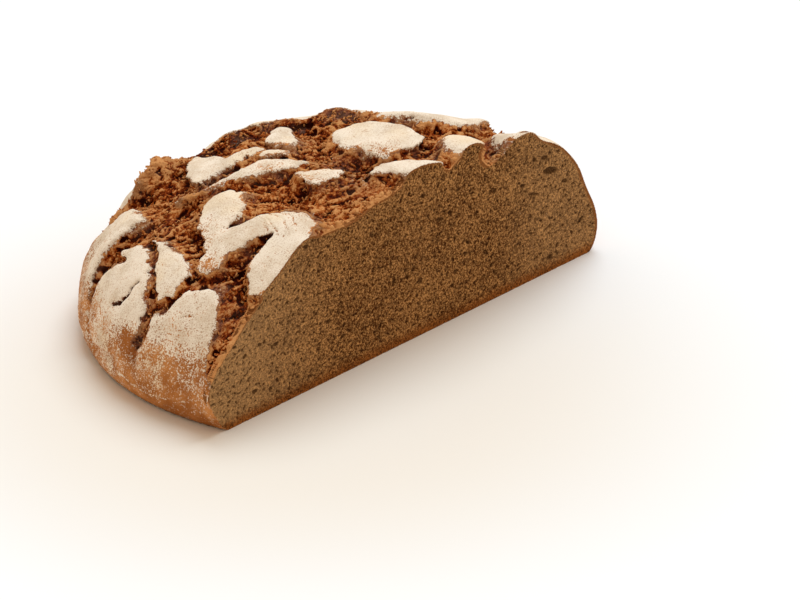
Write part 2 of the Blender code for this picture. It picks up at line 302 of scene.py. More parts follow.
def spots(places, table, unit=mm):
    total = np.zeros(len(places))
    for u, v, height, spread in table:
        total += height * unit * np.exp(-((places - np.array([u, v]) * mm) ** 2).sum(1) / (spread * mm) ** 2)
    return total


def lineDistance(places, routes):
    nearest = np.full(len(places), 1.0)
    for route in routes:
        stops = np.array(route, float) * mm
        near = nearTo(places, stops, mapArea["lineReach"])
        for a, b in zip(stops, stops[1:]):
            nearest[near] = np.minimum(nearest[near], segmentDistance(places[near], a, b)[0])
    return nearest


def wander(points, size, shift=0.0):
    return np.array([noise.noise_vector(Vector(p)).xy for p in (points / size + shift).tolist()])


def ragged(places, points):
    relief = crustRelief
    moved = wander(points, relief["raggedSize"])
    frayed = wander(points, relief["frayedSize"], 7)
    return places + moved * relief["ragged"] + frayed * relief["frayed"]


def swell(places, points):
    relief = crustRelief
    into = readMap(tearMap, ragged(places, points))
    skin = 1 / (1 + np.exp(np.clip(into / (relief["wallWidth"] / 4), -60, 60)))
    edge = relief["edgeDrop"] * np.exp(np.minimum(into, 0) / relief["edgeRound"])
    deep = relief["wallDrop"] + (relief["tearDepth"] - relief["wallDrop"]) * (
        1 - np.exp(-np.maximum(into, 0) / relief["tearSlope"]))
    lumps = relief["lumpHeight"] * noiseAt(points, relief["lumpSize"]) + spots(places, swollen)
    folds = relief["tearFold"] * noiseAt(points * np.array([0.5, 1, 1]), relief["tearFoldSize"], 3.0)
    return lumps + skin * (spots(places, raised) - edge) - (1 - skin) * (deep + spots(places, pits) - folds)


def domeProfile():
    power = 2 / loaf["domePower"]
    rise = np.linspace(math.pi / 2, 0, 400)
    domeRadius = loaf["backDepth"] * np.cos(rise) ** power
    domeHeight = loaf["bellyHeight"] + (loaf["height"] - loaf["bellyHeight"]) * np.sin(rise) ** power
    turn = np.linspace(math.pi / 2, 0, 60)[1:]
    cornerRadius = loaf["backDepth"] * (loaf["baseShare"] + (1 - loaf["baseShare"]) * np.sin(turn))
    cornerHeight = loaf["bellyHeight"] * (1 - np.cos(turn))
    across = np.concatenate([domeRadius, cornerRadius])
    up = np.concatenate([domeHeight, cornerHeight])
    reach = np.concatenate([[0], np.cumsum(np.hypot(np.diff(across), np.diff(up)))])
    return reach, across, up


core = np.array([0, 0, 0.2 * loaf["height"]])
profileReach, profileAcross, profileUp = domeProfile()
tearMap = drawTearMap()
print("crust map drawn:", tearMap.shape)


def stretchOf(headings):
    # the loaf is longer along the cut, and shorter in front of its axis than behind
    stretch = np.ones_like(headings)
    stretch[:, 0] = loaf["length"] / 2 / loaf["backDepth"]
    stretch[headings[:, 1] < 0, 1] = loaf["frontDepth"] / loaf["backDepth"]
    return stretch


def domePoints(headings, way):
    # points of the plain dome and base at each heading and distance from the crown's centre
    onBase = way > profileReach[-1]
    full = profileReach[-1] + profileAcross[-1]
    radius = np.where(onBase, full - way, np.interp(way, profileReach, profileAcross))
    height = np.where(onBase, 0, np.interp(way, profileReach, profileUp))
    return np.column_stack([radius[:, None] * headings * stretchOf(headings), height]), onBase


def outwardsFrom(points):
    outwards = points - core
    length = np.linalg.norm(outwards, axis=1)
    return outwards / length[:, None], length


def shapeLoaf(directions):
    heading = np.arctan2(directions[:, 1], directions[:, 0])
    full = profileReach[-1] + profileAcross[-1]
    way = full * np.arccos(np.clip(directions[:, 2], -1, 1)) / math.pi
    headings = np.column_stack([np.cos(heading), np.sin(heading)])
    points, onBase = domePoints(headings, way)
    fade = np.clip((profileReach[-1] - way) / (1.5 * loaf["bellyHeight"]), 0, 1)
    out, _ = outwardsFrom(points)
    points = points + out * (swell(headings * way[:, None], points) * fade)[:, None]
    points[:, 2] = np.where(onBase, 0, np.maximum(points[:, 2], 0))
    return points


def placesOf(points):
    # the place on the map under each point, and the plain dome's point there
    flat = points[:, :2] / stretchOf(points[:, :2])
    radius = np.maximum(np.linalg.norm(flat, axis=1), 1e-9)
    tilt = np.arctan2(points[:, 2] - core[2], radius)
    tilts = np.arctan2(profileUp - core[2], profileAcross)
    way = np.interp(-tilt, -tilts, profileReach)
    headings = flat / radius[:, None]
    plain, _ = domePoints(headings, np.minimum(way, profileReach[-1] - 1e-6))
    return headings * way[:, None], plain


def readEach(items, key, width):
    values = np.empty(len(items) * width, np.float32)
    items.foreach_get(key, values)
    return values.reshape(-1, width).astype(float)


def meshPoints(mesh):
    return readEach(mesh.vertices, "co", 3)


def meshNormals(mesh):
    return readEach(mesh.vertex_normals, "vector", 3)


def addObject(name, mesh):
    thing = bpy.data.objects.new(name, mesh)
    bpy.context.scene.collection.objects.link(thing)
    return thing


def fillCut(bm, point, normal):
    # cuts away what is on the normal's side and closes the cut
    everything = bm.verts[:] + bm.edges[:] + bm.faces[:]
    cut = bmesh.ops.bisect_plane(bm, geom=everything, plane_co=point, plane_no=normal, clear_outer=True)
    rim = [e for e in cut["geom_cut"] if isinstance(e, bmesh.types.BMEdge)]
    bmesh.ops.holes_fill(bm, edges=rim)


def makeHalf():
    bm = bmesh.new()
    bmesh.ops.create_icosphere(bm, subdivisions=loaf["ballLevels"], radius=1)
    mesh = bpy.data.meshes.new("wholeLoaf")
    bm.to_mesh(mesh)
    directions = meshPoints(mesh)
    directions /= np.linalg.norm(directions, axis=1)[:, None]
    mesh.vertices.foreach_set("co", shapeLoaf(directions).ravel())
    bm.clear()
    bm.from_mesh(mesh)
    fillCut(bm, (0, cutPlane - axisPlace[1], 0), (0, -1, 0))
    fillCut(bm, (0, 0, loaf["baseTrim"]), (0, 0, -1))
    bmesh.ops.translate(bm, verts=bm.verts, vec=(0, 0, -loaf["baseTrim"]))
    bmesh.ops.triangulate(bm, faces=bm.faces)
    bmesh.ops.recalc_face_normals(bm, faces=bm.faces)
    bm.to_mesh(mesh)
    bm.free()
    half = addObject("halfShape", mesh)
    even = half.modifiers.new("even", "REMESH")
    even.mode = "VOXEL"
    even.voxel_size = loaf["voxel"]
    graph = bpy.context.evaluated_depsgraph_get()
    fine = bpy.data.meshes.new_from_object(half.evaluated_get(graph))
    bpy.data.objects.remove(half)
    return fine


halfMesh = makeHalf()
print("half loaf in even faces:", len(halfMesh.polygons))


# fine relief of each kind of surface, in metres
fineRelief = {
    "fold": 0.0021, "foldSize": 0.0120,  # torn crumb: folds with strands, shreds and crumbs on them
    "ridge": 0.0012, "ridgeSize": 0.0062,
    "strand": 0.0009, "strandSize": 0.0028,
    "shred": 0.0008, "shredSize": 0.0014,
    "strandPull": (0.42, 1, 0.8),  # strands are longer along the first axis
    "strandWobble": 0.0012, "strandWobbleSize": 0.0035,
    "roughSize": 0.009,
    "pocket": 0.0020, "pocketSize": 0.0055, "pocketStep": (0.18, 0.62),  # pits in the torn crumb
    "skinLump": 0.00035, "skinLumpSize": 0.0080,
    "skinGrain": 0.00010, "skinGrainSize": 0.0018,
}


def tornHeight(points):
    relief = fineRelief
    turned = points @ np.array([[0.9, 0.43, 0], [-0.43, 0.9, 0], [0, 0, 1]])  # the strands run askew
    wobble = [noiseAt(points, relief["strandWobbleSize"], shift) for shift in (11.0, 13.0, 15.0)]
    turned += relief["strandWobble"] * np.column_stack(wobble)
    pulled = turned * np.array(relief["strandPull"])
    fold = noiseAt(pulled, relief["foldSize"], 1.0)
    ridge = 0.3 - 2 * np.abs(noiseAt(pulled, relief["ridgeSize"], 19.0))
    strand = np.abs(noiseAt(pulled, relief["strandSize"], 3.0)) - 0.25
    shred = np.abs(noiseAt(turned, relief["shredSize"], 5.0)) - 0.25
    pocket = smoothStep(*relief["pocketStep"], noiseAt(turned, relief["pocketSize"], 9.0))
    rough = 0.45 + 1.1 * smoothStep(-0.35, 0.35, noiseAt(turned, relief["roughSize"], 17.0))
    return (relief["fold"] * fold + relief["ridge"] * ridge + relief["strand"] * strand * rough
            + relief["shred"] * shred * rough - relief["pocket"] * pocket)


def skinHeight(points):
    relief = fineRelief
    lump = noiseAt(points, relief["skinLumpSize"], 2.0)
    grain = noiseAt(points, relief["skinGrainSize"], 4.0)
    return relief["skinLump"] * lump + relief["skinGrain"] * grain


# holes in the cut face: how many, and their smallest and largest radius
crumbPores = {
    "fine": (9000, 0.00030, 0.00080),
    "open": (190, 0.0007, 0.0014),
    "step": 0.00025,
    "depthShare": 0.9,
    "stretch": 1.5,
    "stretchPower": 1.5,
    "tilt": 0.6,
    "longTilt": -0.25,
    # place along the cut and up, half length and half width
    "long": [(0.101, 0.053, 0.0062, 0.0019), (0.088, 0.045, 0.0046, 0.0012), (0.097, 0.061, 0.0030, 0.0013),
             (0.080, 0.052, 0.0026, 0.0011), (0.112, 0.044, 0.0028, 0.0012), (-0.06, 0.030, 0.0026, 0.0012),
             (0.02, 0.055, 0.0030, 0.0013)],
}


def makePoreMap():
    step = crumbPores["step"]
    wide = int((highCorner[0] - lowCorner[0]) / step) + 2
    tall = int(highCorner[2] / step) + 2
    depth = np.zeros((tall, wide))
    holes = []
    for count, smallest, largest in (crumbPores["fine"], crumbPores["open"]):
        radius = smallest + (largest - smallest) * rng.random(count) ** 2
        place = rng.random((count, 2)) * [wide * step, tall * step]
        stretch = 1 + crumbPores["stretch"] * rng.random(count) ** crumbPores["stretchPower"]
        for (x, z), r, s in zip(place, radius, stretch):
            holes.append((x, z, r * s, r, rng.normal(0, crumbPores["tilt"])))
    for x, z, halfLong, halfWide in crumbPores["long"]:
        holes.append((x - lowCorner[0], z, halfLong, halfWide, crumbPores["longTilt"]))
    for x, z, halfLong, halfWide, turn in holes:
        span = int(halfLong * 1.2 / step) + 2
        column, row = int(x / step), int(z / step)
        left, right = max(column - span, 0), min(column + span + 1, wide)
        low, high = max(row - span, 0), min(row + span + 1, tall)
        if left >= right or low >= high:
            continue
        dx, dz = np.meshgrid(np.arange(left, right) * step - x, np.arange(low, high) * step - z)
        along = (dx * math.cos(turn) + dz * math.sin(turn)) / halfLong
        across = (dz * math.cos(turn) - dx * math.sin(turn)) / halfWide
        hollow = np.sqrt(np.clip(1 - along ** 2 - across ** 2, 0, 1)) * halfWide * crumbPores["depthShare"]
        depth[low:high, left:right] = np.maximum(depth[low:high, left:right], hollow)
    return depth


def readPores(points):
    spot = np.column_stack([points[:, 0] - lowCorner[0], points[:, 2]])
    return readGrid(poreMap, spot / crumbPores["step"])


poreMap = makePoreMap()


def smoothed(mesh, points, rounds):
    # each point moved to the middle of its neighbours, a few times over
    ends = np.empty(len(mesh.edges) * 2, np.int32)
    mesh.edges.foreach_get("vertices", ends)
    a, b = ends.reshape(-1, 2).T
    count = np.maximum(np.bincount(a, minlength=len(points)) + np.bincount(b, minlength=len(points)), 1)
    soft = points.copy()

    def neighbourSum(k):
        return np.bincount(a, soft[b, k], len(points)) + np.bincount(b, soft[a, k], len(points))

    for _ in range(rounds):
        soft = np.column_stack([neighbourSum(k) for k in range(3)]) / count[:, None]
    return soft


def storeMask(mesh, name, values):
    mask = mesh.attributes.new(name, "FLOAT", "POINT")
    mask.data.foreach_set("value", values.astype(np.float32))


# how the even faces are dressed, in metres
dressing = {
    "facing": 0.75,  # how square to the knife or the table a flat face stands
    "flatReach": 0.6 * loaf["voxel"],
    "frayed": 0.0008,
    "frayedSize": 0.0017,
    "scuffSlope": 0.6,
    "bareStep": (0.0045, 0.0020),
    "bareWidth": 0.0045,
    "bareStart": 0.0030,
    "bareValley": 0.0016,
    "bareValleyStep": (-0.032, -0.018),
    "closeStep": (0.153, 0.163),  # a crack closes to a crease between these distances from the crown
    "closeLift": 0.004,
    "hairWidth": 0.00042,
    "creaseWidth": 0.0006,
    "lineHeight": 0.0005,
    "tornStep": (-0.0011, 0.0006),
    "knifeFade": (-0.0002, 0.0007),
    "tableFade": 0.003,
    "poreShare": 0.35,
    "crustStep": (0.0012, 0.0035),
    "faceFade": 0.0010,
    "sunk": 0.0002,
    "smoothRounds": 10,
    "valleyRounds": 60,
}


def faceDepth(points, pores, inside):
    # how far the cut crumb lies behind the knife's plane
    rough = 0.00025 * noiseAt(points, 0.0013, 31.0) + 0.0003 * noiseAt(points, 0.006, 33.0)
    share = dressing["poreShare"]
    return np.maximum(pores * (share + (1 - share) * inside) + rough + dressing["sunk"], 0)


# where flour lies: thick on the plates, thin at their rims and low on the side
flourCover = {
    "rimShare": 0.36,
    "rimStart": (-0.0003, 0.0020),
    "rimWidth": 0.0012,
    "sideSteps": [(0.50, 0.140, 0.155), (0.26, 0.152, 0.180)],  # how much goes, and between which distances
    "brushedStep": (0.0050, 0.0004),
    "brushed": 0.36,
    "hair": 0.4,
    "crease": 0.3,
    "spotShare": 0.95,
    "wornShare": 1.4,
}


def flourMasks(points, places, into, torn, hair, crease, hollow):
    setup = flourCover
    nearest, spread = setup["rimStart"]
    rimStart = nearest + spread * smoothStep(0.0, 0.5, noiseAt(points, 0.012, 43.0))
    whole = smoothStep(rimStart, rimStart + setup["rimWidth"], -into)
    rim = setup["rimShare"] + (1 - setup["rimShare"]) * whole
    lower = np.linalg.norm(places, axis=1) + 0.004 * noiseAt(points, 0.03, 41.0)
    side = 1 - sum(share * smoothStep(start, end, lower) for share, start, end in setup["sideSteps"])
    flour = rim * side + spots(places, flourSpots, 1.0)
    brushed = smoothStep(-0.25, 0.35, noiseAt(points, 0.011, 47.0)) * smoothStep(*setup["brushedStep"], into)
    shallow = smoothStep(0.5, -1.0, hollow * 1000)
    dust = (spots(places, dustSpots, setup["spotShare"]) + setup["brushed"] * brushed) * torn * shallow
    flour = dust + flour * (1 - torn) * (1 - setup["hair"] * hair) + setup["crease"] * crease
    worn = brushed + setup["wornShare"] * spots(places, dustSpots, 1.0)
    return np.clip(flour, 0, 1), np.clip(worn, 0, 1)


def dressHalf(mesh):
    # moves the even faces into their fine relief and stores the masks that the materials read
    setup = dressing
    points, normals = meshPoints(mesh), meshNormals(mesh)
    knife = cutPlane - axisPlace[1]
    onFace = (points[:, 1] < knife + setup["flatReach"]) & (normals[:, 1] < -setup["facing"])
    onBase = (points[:, 2] < setup["flatReach"]) & (normals[:, 2] < -setup["facing"])
    points[onFace, 1] = knife
    points[onBase, 2] = 0
    places, plain = placesOf(points)
    wandering = ragged(places, plain)
    into = readMap(tearMap, wandering) + setup["frayed"] * noiseAt(points, setup["frayedSize"], 21.0)
    for u, v, radius in scuffs:
        away = np.linalg.norm(wandering - np.array([u, v]) * mm, axis=1)
        into = np.maximum(into, setup["scuffSlope"] * (radius * mm - away))
    bare = smoothStep(*setup["bareStep"], lineDistance(wandering, bareLines))
    into = np.where(bare > 0, np.maximum(into, setup["bareWidth"] * bare - setup["bareStart"]), into)
    closing = smoothStep(*setup["closeStep"], np.linalg.norm(places, axis=1))
    into = np.where(onBase, into, into - setup["closeLift"] * closing)
    hair = np.exp(-(lineDistance(wandering, hairLines) / setup["hairWidth"]) ** 2)
    crease = np.exp(-(lineDistance(wandering, paleLines) / setup["creaseWidth"]) ** 2)
    torn = smoothStep(*setup["tornStep"], into)
    crust = ~(onFace | onBase)
    height = np.zeros(len(points))
    c = points[crust]
    height[crust] = torn[crust] * tornHeight(c) + (1 - torn[crust]) * skinHeight(c)
    height += (1 - torn) * (setup["lineHeight"] * crease - setup["lineHeight"] * hair)
    # nothing stands out past the knife's plane or the table
    fade = smoothStep(*setup["knifeFade"], points[:, 1] - knife)
    fade *= smoothStep(0, setup["tableFade"], points[:, 2])
    height[crust] *= fade[crust]
    out, length = outwardsFrom(points)
    _, surfaceLength = outwardsFrom(plain + out * swell(places, plain)[:, None])
    under = np.minimum(surfaceLength - length, points[:, 2])
    pores = readPores(points)
    inside = smoothStep(*setup["crustStep"], under)
    moved = points + normals * height[:, None]
    sunk = faceDepth(points, pores, inside) * smoothStep(0, setup["faceFade"], under)
    moved[onFace, 1] = knife + sunk[onFace]
    moved[:, 1] = np.maximum(moved[:, 1], knife)
    moved[:, 2] = np.maximum(moved[:, 2], 0)
    # hollow is against the near surroundings, valley against the wider ones, low against the plain dome; the
    # materials paint shade by them, and a highlight where hollow is below zero
    hollow = np.einsum("ij,ij->i", smoothed(mesh, moved, setup["smoothRounds"]) - moved, normals)
    # the cut face's pores count as hollows, so that painted shade darkens them
    hollow[onFace] = np.maximum(hollow[onFace], setup["poreShare"] * (pores * inside)[onFace])
    _, plainLength = outwardsFrom(plain)
    low = plainLength - np.linalg.norm(moved - core, axis=1)
    valley = np.einsum("ij,ij->i", smoothed(mesh, moved, setup["valleyRounds"]) - moved, normals)
    # painted shade: the far plates' torn fronts get a made-up valley that only darkens their colour
    valley += setup["bareValley"] * bare * smoothStep(*setup["bareValleyStep"], places[:, 0])
    flour, worn = flourMasks(points, places, into, torn, hair, crease, hollow)
    mesh.vertices.foreach_set("co", (moved + axisPlace).astype(np.float32).ravel())
    distances = {"into": into, "low": low, "hollow": hollow, "under": under, "valley": valley}
    for name, values in distances.items():
        storeMask(mesh, name, values * 1000)  # in millimetres
    for name, values in (("flour", flour), ("worn", worn), ("onFace", onFace)):
        storeMask(mesh, name, values)
    print("relief done, torn share", round(float(torn[crust].mean()), 2))


dressHalf(halfMesh)


# shader groups and materials come first, the pieces take them below


def setInputs(tree, node, inputs):
    for name, value in inputs.items():
        if isinstance(value, bpy.types.NodeSocket):
            tree.links.new(value, node.inputs[name])
        else:
            node.inputs[name].default_value = value


def addNode(tree, kind, inputs=None, **settings):
    node = tree.nodes.new("ShaderNode" + kind)
    for name, value in settings.items():
        setattr(node, name, value)
    setInputs(tree, node, inputs or {})
    return node


def mathNode(tree, operation, a, b=0.0):
    return addNode(tree, "Math", {0: a, 1: b}, operation=operation).outputs[0]


def weighted(tree, terms, offset=None):
    # each value times its factor, added up
    total = None
    for value, factor in terms:
        part = mathNode(tree, "MULTIPLY", value, factor)
        total = part if total is None else mathNode(tree, "ADD", total, part)
    return total if offset is None else mathNode(tree, "ADD", total, offset)


def unevenly(tree, value, pattern, amount):
    # the value moved up and down by a noise that lies round a half
    offset = mathNode(tree, "MULTIPLY", mathNode(tree, "SUBTRACT", pattern, 0.5), amount)
    return mathNode(tree, "ADD", value, offset)


def mapRange(tree, value, fromLow, fromHigh, toLow=0.0, toHigh=1.0):
    inputs = {"Value": value, "From Min": fromLow, "From Max": fromHigh, "To Min": toLow, "To Max": toHigh}
    return addNode(tree, "MapRange", inputs, interpolation_type="SMOOTHSTEP").outputs["Result"]


def mixColour(tree, share, a, b):
    inputs = {0: share, 6: a, 7: b}
    return addNode(tree, "Mix", inputs, data_type="RGBA", blend_type="MIX").outputs[2]


def noiseNode(tree, place, scale, detail=2.0, roughness=0.5, distortion=0.0):
    inputs = {
        "Vector": place, "Scale": scale, "Detail": detail, "Roughness": roughness, "Distortion": distortion}
    return addNode(tree, "TexNoise", inputs).outputs["Fac"]


def newGroup(name, ins, outs):
    group = bpy.data.node_groups.new(name, "ShaderNodeTree")
    for side, sockets in (("INPUT", ins), ("OUTPUT", outs)):
        for label, kind in sockets.items():
            group.interface.new_socket(label, in_out=side, socket_type="NodeSocket" + kind)
    return group, group.nodes.new("NodeGroupInput"), group.nodes.new("NodeGroupOutput")


def colour(red, green, blue):
    return (red, green, blue, 1.0)


flourColours = {
    "thin": colour(0.73, 0.595, 0.44),
    "thick": colour(0.91, 0.79, 0.635),
    "warm": colour(0.90, 0.715, 0.475),
}


def flourGroup():
    # flour lies thick where Amount is high and breaks into specks where it is low
    group, ins, outs = newGroup(
        "flourDust", {"Place": "Vector", "Amount": "Float", "Grain": "Float"},
        {"Cover": "Float", "Colour": "Color", "Height": "Float"})
    place, amount, grain = (ins.outputs[k] for k in range(3))
    fine = noiseNode(group, place, grain, 3.0, 0.7)
    patch = noiseNode(group, place, 160.0, 3.0, 0.6)
    speck = noiseNode(group, place, 1500.0, 1.0, 0.5)
    wide = noiseNode(group, place, 75.0, 2.0, 0.5)
    cast = noiseNode(group, place, 28.0, 3.0, 0.55)
    spread = mapRange(group, weighted(group, [(fine, 0.45), (patch, 0.22), (speck, 0.33)]), 0.31, 0.67)
    over = mathNode(group, "SUBTRACT", spread, mathNode(group, "SUBTRACT", 1.0, amount))
    cover = mapRange(group, over, -0.05, 0.28, 0.0, 0.94)
    pinholes = weighted(group, [(mapRange(group, speck, 0.34, 0.46), 0.22)], 0.78)
    cover = mathNode(group, "MULTIPLY", cover, pinholes)
    tone = mapRange(group, weighted(group, [(speck, 0.35), (wide, 0.65)]), 0.38, 0.60)
    paint = mixColour(group, tone, flourColours["thin"], flourColours["thick"])
    paint = mixColour(group, mapRange(group, cast, 0.50, 0.68, 0.0, 0.6), paint, flourColours["warm"])
    setInputs(group, outs, {
        "Cover": cover, "Colour": paint, "Height": mathNode(group, "MULTIPLY", cover, fine)})
    return group


def crumbleGroup():
    # small grains and holes of baked crumb
    group, ins, outs = newGroup(
        "crumbGrain", {"Place": "Vector", "Scale": "Float"}, {"Grain": "Float", "Holes": "Float"})
    place, scale = ins.outputs[0], ins.outputs[1]
    wide = noiseNode(group, place, scale, 4.0, 0.7)
    twist = addNode(group, "VectorMath", {0: place, 1: (1.0, 1.0, 1.35)}, operation="MULTIPLY")
    cells = addNode(group, "TexVoronoi", {
        "Vector": twist.outputs[0], "Scale": scale, "Randomness": 1.0})
    holes = mapRange(group, cells.outputs["Distance"], 0.18, 0.5, 1.0, 0.0)
    patchy = mapRange(group, wide, 0.42, 0.62)
    setInputs(group, outs, {"Grain": wide, "Holes": mathNode(group, "MULTIPLY", holes, patchy)})
    return group


flourDust = flourGroup()
crumbGrain = crumbleGroup()


def newMaterial(name):
    material = bpy.data.materials.new(name)
    material.use_nodes = True
    tree = material.node_tree
    shader = tree.nodes["Principled BSDF"]
    place = addNode(tree, "TexCoord").outputs["Object"]
    return material, tree, shader, place


def readMask(tree, name):
    return addNode(tree, "Attribute", attribute_name=name).outputs["Fac"]


def groupNode(tree, group, inputs):
    return addNode(tree, "Group", inputs, node_tree=group).outputs


def finishShader(tree, shader, paint, roughness, relief, strength, distance, specular):
    bump = addNode(tree, "Bump", {"Height": relief, "Strength": strength, "Distance": distance})
    setInputs(tree, shader, {
        "Base Color": paint, "Roughness": roughness, "Specular IOR Level": specular,
        "Normal": bump.outputs["Normal"]})


# the crust's colours: skin, torn crumb from its painted shade in the deep to its painted highlight on the
# crests, the rim where the skin ends and worn patches
crustColours = {
    "skinLight": colour(0.62, 0.262, 0.086),
    "skinDark": colour(0.36, 0.122, 0.030),
    "tornDeep": colour(0.028, 0.0022, 0.0002),
    "tornMiddle": colour(0.180, 0.0220, 0.0018),
    "tornLight": colour(0.41, 0.104, 0.0155),
    "tornCrest": colour(0.66, 0.300, 0.105),
    "rimDark": colour(0.180, 0.080, 0.050),
    "wornDark": colour(0.085, 0.030, 0.016),
    "wornLight": colour(0.26, 0.135, 0.085),
}


def ramp(tree, value, stops):
    node = addNode(tree, "ValToRGB", {"Fac": value})
    points = node.color_ramp.elements
    points[0].position, points[0].color = stops[0]
    points[1].position, points[1].color = stops[-1]
    for place, paint in stops[1:-1]:
        points.new(place).color = paint
    return node.outputs["Color"]


def makeCrustMaterial():
    material, tree, shader, place = newMaterial("bakedCrust")
    tones = crustColours
    flour, into, low, hollow, valley, worn = (
        readMask(tree, name) for name in ("flour", "into", "low", "hollow", "valley", "worn"))
    grain = groupNode(tree, crumbGrain, {"Place": place, "Scale": 620.0})
    blotch = noiseNode(tree, place, 70.0, 3.0, 0.6)
    freckle = noiseNode(tree, place, 900.0, 2.0, 0.6)
    skin = mixColour(tree, mapRange(tree, blotch, 0.35, 0.68), tones["skinDark"], tones["skinLight"])
    skin = mixColour(tree, mapRange(tree, freckle, 0.52, 0.68, 0.0, 0.45), skin, tones["skinDark"])
    # torn crumb: painted shade makes it dark in the hollows, valleys and low down, and a painted highlight
    # makes it light on the crests, over its own random tone
    fibre = addNode(tree, "VectorMath", {0: place, 1: (0.55, 1.0, 0.9)}, operation="MULTIPLY")
    shreds = noiseNode(tree, fibre.outputs[0], 1050.0, 3.0, 0.72, 0.6)
    level = weighted(
        tree, [(hollow, -0.95), (valley, -0.40), (low, -0.038), (shreds, 2.0), (blotch, 1.1)], -0.70)
    torn = ramp(tree, level, [
        (0.02, tones["tornDeep"]), (0.36, tones["tornMiddle"]), (0.66, tones["tornLight"]),
        (1.0, tones["tornCrest"])])
    wornTone = mixColour(tree, mapRange(tree, shreds, 0.38, 0.62), tones["wornDark"], tones["wornLight"])
    torn = mixColour(tree, mathNode(tree, "MULTIPLY", worn, 0.6), torn, wornTone)
    edge = unevenly(tree, into, freckle, 1.6)
    body = mixColour(tree, mapRange(tree, edge, -1.8, -0.6, 0.0, 0.7), skin, tones["rimDark"])
    body = mixColour(tree, mapRange(tree, edge, -0.7, -0.2), body, torn)
    dust = groupNode(tree, flourDust, {"Place": place, "Amount": flour, "Grain": 800.0})
    paint = mixColour(tree, dust["Cover"], body, dust["Colour"])
    rough = mapRange(tree, dust["Cover"], 0.0, 1.0, 0.72, 0.97)
    relief = weighted(tree, [(grain["Grain"], 0.7), (grain["Holes"], -0.5), (shreds, 1.2)])
    relief = mathNode(tree, "MULTIPLY", relief, mapRange(tree, edge, -0.8, -0.1, 0.22, 1.0))
    relief = mathNode(tree, "ADD", relief, mathNode(tree, "MULTIPLY", dust["Height"], 0.25))
    finishShader(tree, shader, paint, rough, relief, 0.75, 0.0007, 0.02)
    return material


# the cut face: grey-brown crumb inside a thin crust line
faceColours = {
    "crumbLight": colour(0.69, 0.333, 0.113),
    "crumbDark": colour(0.086, 0.0262, 0.0054),
    "crumbPale": colour(0.66, 0.385, 0.170),
    "hole": colour(0.036, 0.011, 0.003),
    "crustLine": colour(0.30, 0.11, 0.032),
    "bottomLine": colour(0.420, 0.135, 0.028),
}


def makeFaceMaterial():
    material, tree, shader, place = newMaterial("ryeCrumb")
    tones = faceColours
    under, hollow = readMask(tree, "under"), readMask(tree, "hollow")
    grain = groupNode(tree, crumbGrain, {"Place": place, "Scale": 760.0})
    blotch = noiseNode(tree, place, 45.0, 2.0, 0.5)
    grit = noiseNode(tree, place, 1150.0, 3.0, 0.7)
    flake = noiseNode(tree, place, 460.0, 3.0, 0.65, 0.9)
    wobble = noiseNode(tree, place, 220.0, 3.0, 0.6)
    level = weighted(tree, [(unevenly(tree, grain["Grain"], blotch, 0.2), 0.45), (grit, 0.55)])
    crumb = mixColour(tree, mapRange(tree, level, 0.43, 0.60), tones["crumbDark"], tones["crumbLight"])
    crumb = mixColour(tree, mapRange(tree, flake, 0.32, 0.47, 0.55, 0.0), crumb, tones["crumbDark"])
    crumb = mixColour(tree, mapRange(tree, flake, 0.56, 0.70, 0.0, 0.6), crumb, tones["crumbLight"])
    # painted light: the crumb is painted paler towards both ends of the cut, leaving the darker middle as
    # painted shade
    apart = addNode(tree, "SeparateXYZ", {"Vector": place}).outputs
    ends = mathNode(tree, "MAXIMUM", mapRange(tree, apart["X"], -0.130, -0.040, 0.95, 0.0),
                    mapRange(tree, apart["X"], 0.055, 0.105, 0.0, 0.45))
    crumb = mixColour(tree, ends, crumb, mixColour(tree, 0.5, crumb, tones["crumbPale"]))
    # painted shade: the crumb's small pores and its hollows are darkened with the hole colour
    crumb = mixColour(tree, mapRange(tree, grain["Holes"], 0.15, 0.8, 0.0, 0.6), crumb, tones["hole"])
    crumb = mixColour(tree, mapRange(tree, hollow, 0.06, 0.40, 0.0, 0.75), crumb, tones["hole"])
    edge = unevenly(tree, under, wobble, 2.2)
    bottom = unevenly(tree, apart["Z"], wobble, 0.0055)
    bottomTone = mixColour(tree, mapRange(tree, level, 0.40, 0.58), tones["crumbDark"], tones["bottomLine"])
    paint = mixColour(tree, mapRange(tree, edge, 1.0, 2.6, 1.0, 0.0), crumb, tones["crustLine"])
    paint = mixColour(tree, mapRange(tree, bottom, 0.0004, 0.0072, 1.0, 0.0), paint, bottomTone)
    relief = mathNode(tree, "ADD", mathNode(tree, "SUBTRACT", grain["Grain"], grain["Holes"]), grit)
    finishShader(tree, shader, paint, 0.85, relief, 0.95, 0.0008, 0.02)
    return material


baseColours = {
    "dark": colour(0.13, 0.055, 0.022),
    "light": colour(0.27, 0.12, 0.048),
    "hole": colour(0.05, 0.02, 0.01),
}


def makeBaseMaterial():
    material, tree, shader, place = newMaterial("hearthCrust")
    tones = baseColours
    grain = groupNode(tree, crumbGrain, {"Place": place, "Scale": 300.0})
    blotch = noiseNode(tree, place, 40.0, 4.0, 0.6)
    body = mixColour(tree, mapRange(tree, blotch, 0.35, 0.65), tones["dark"], tones["light"])
    # painted shade: the base's small pores are darkened with the hole colour
    body = mixColour(tree, mapRange(tree, grain["Holes"], 0.2, 0.8, 0.0, 0.6), body, tones["hole"])
    dust = groupNode(tree, flourDust, {"Place": place, "Amount": 0.34, "Grain": 420.0})
    paint = mixColour(tree, dust["Cover"], body, dust["Colour"])
    rough = mapRange(tree, dust["Cover"], 0.0, 1.0, 0.6, 0.95)
    finishShader(tree, shader, paint, rough, grain["Grain"], 0.7, 0.0006, 0.5)
    return material


crustMaterial = makeCrustMaterial()
faceMaterial = makeFaceMaterial()
baseMaterial = makeBaseMaterial()
print("materials made")


def finishPiece(piece, material):
    piece.data.materials.clear()
    piece.data.materials.append(material)
    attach(piece, "root")
    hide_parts("half_loaf")
    piece.data.calc_loop_triangles()
    print(piece.name, len(piece.data.loop_triangles), "triangles")


